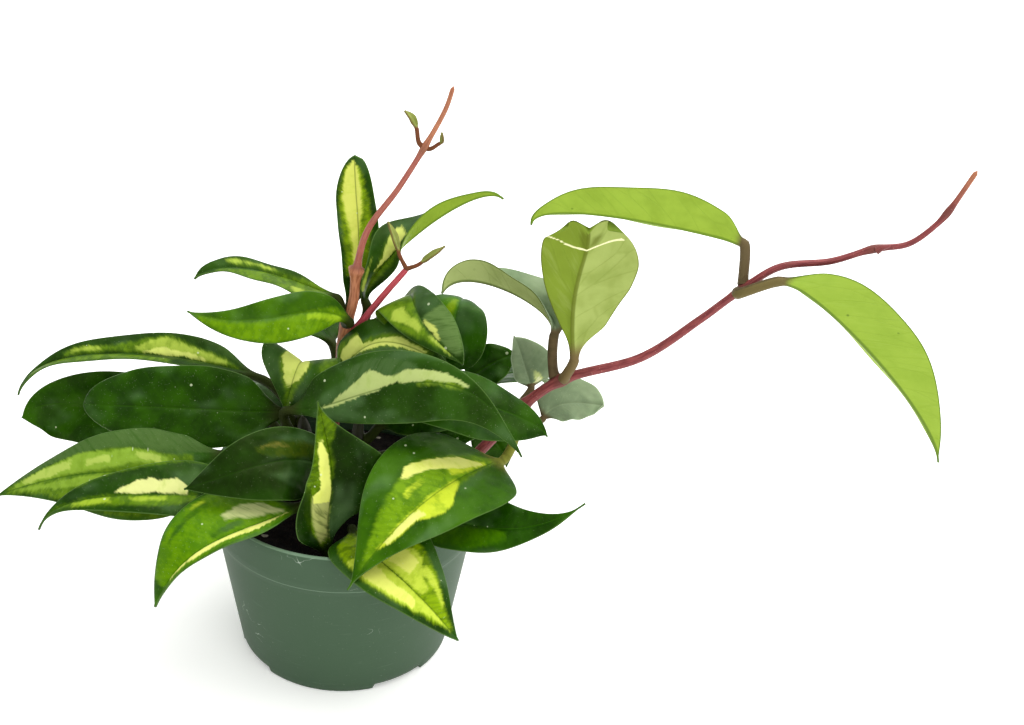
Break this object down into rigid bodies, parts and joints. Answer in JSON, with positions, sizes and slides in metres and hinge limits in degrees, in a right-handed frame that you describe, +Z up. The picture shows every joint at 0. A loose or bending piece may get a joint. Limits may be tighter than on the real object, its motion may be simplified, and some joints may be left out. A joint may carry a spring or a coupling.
{
  "type": "potted wax plant",
  "caption": "Wax plant with thick cream-and-green leaves on arching stems, one long trailing vine, in a tapered green plastic nursery pot.",
  "frame": {"origin": "centre of the pot's flat underside", "axes": "+Z up, +X along the long trailing vine, -Y towards the front of the plant"},
  "size_m": [0.3589, 0.1481, 0.2352],
  "materials": {
    "pot": "fine matte moulded surface, blue-grey green, light scuffs",
    "soil": "loose dark peat and bark potting mix with a few white perlite grains",
    "stem": "waxy red-brown bark with pale length streaks",
    "leaf": "thick waxy leaf, dark green margin with cream and lime centre, semi-gloss",
    "young_leaf": "pale grey-green unexpanded leaf, satin"
  },
  "bodies": {
    "root": {"pot": "pot", "soil": "soil", "trailing_vine": "stem", "upright_shoot": "stem", "left_stem": "stem", "middle_stem": "stem", "back_stem": "stem", "leaf_left_long": "leaf", "leaf_left_broad": "leaf", "leaf_left_back": "leaf", "leaf_left_low": "leaf", "leaf_left_under": "leaf", "leaf_middle_dark": "leaf", "leaf_front_left": "leaf", "leaf_front_upright": "leaf", "leaf_front_large": "leaf", "leaf_front_rim": "leaf", "leaf_right_low": "leaf", "leaf_top_large": "leaf", "leaf_top_right": "leaf", "leaf_top_arched": "leaf", "leaf_top_folded": "leaf", "leaf_top_twisted": "leaf", "leaf_back_round": "leaf", "leaf_back_dark": "leaf", "leaf_grey_upper": "leaf", "leaf_grey_right": "leaf", "leaf_vine_left": "leaf", "leaf_vine_heart": "leaf", "leaf_vine_arched": "leaf", "leaf_vine_hanging": "leaf", "leaf_shoot_upright": "leaf", "leaf_shoot_right": "leaf", "leaf_shoot_left": "leaf", "leaf_shoot_lime": "leaf", "leaf_inner_right": "leaf", "leaf_inner_front": "leaf", "leaf_inner_low": "leaf", "leaf_rear_right": "leaf", "leaf_rear_middle": "leaf", "leaf_rear_left": "leaf", "leaf_rear_low": "leaf", "leaf_rear_under": "leaf", "side_shoot_leaves": "young_leaf", "top_shoot_leaf": "young_leaf", "top_shoot_bud": "young_leaf"}
  },
  "joints": []
}
